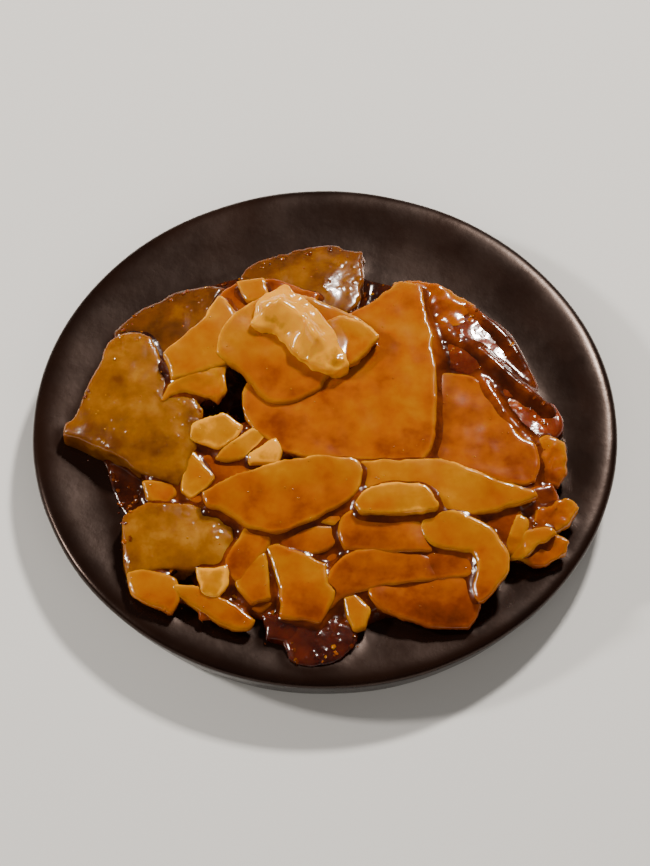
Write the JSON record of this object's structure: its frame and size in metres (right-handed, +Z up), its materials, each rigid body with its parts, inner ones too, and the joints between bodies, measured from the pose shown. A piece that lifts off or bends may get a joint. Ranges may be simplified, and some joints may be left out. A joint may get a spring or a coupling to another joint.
{
  "type": "florentine cookie",
  "caption": "Round dark chocolate disc with a raised rim, its shallow recess heaped with caramel, almond flakes and candied fruit.",
  "frame": {"origin": "centre of the flat underside of the chocolate disc", "axes": "+Z up through the topping; -Y towards the lower edge of the heap, +Y towards its highest flakes"},
  "size_m": [0.06, 0.06, 0.0137],
  "materials": {
    "chocolate": "dark chocolate, soft satin gloss",
    "caramel": "hard caramel, glossy and translucent",
    "almond": "baked almond glazed with caramel",
    "peel": "candied peel, translucent and glossy",
    "cherry": "candied cherry, dark and glossy"
  },
  "bodies": {
    "root": {"chocolate_base": "chocolate", "caramel_bed": "caramel", "almond_ridge": "almond", "almond_crest": "almond", "almond_slip_right": "almond", "almond_half_left": "almond", "almond_front_right": "almond", "almond_fan": "almond", "almond_chip_left": "almond", "almond_wing": "almond", "almond_shard": "almond", "almond_arc": "almond", "almond_curve": "almond", "almond_low_right": "almond", "almond_tongue": "almond", "almond_under": "almond", "almond_right": "almond", "almond_sliver": "almond", "almond_corner": "almond", "almond_curl_right": "almond", "almond_edge_right": "almond", "almond_back": "almond", "peel_left": "peel", "peel_front_left": "peel", "peel_back": "peel", "peel_back_left": "peel", "cherry_right": "cherry", "cherry_edge": "cherry", "cherry_front": "cherry"}
  },
  "joints": []
}
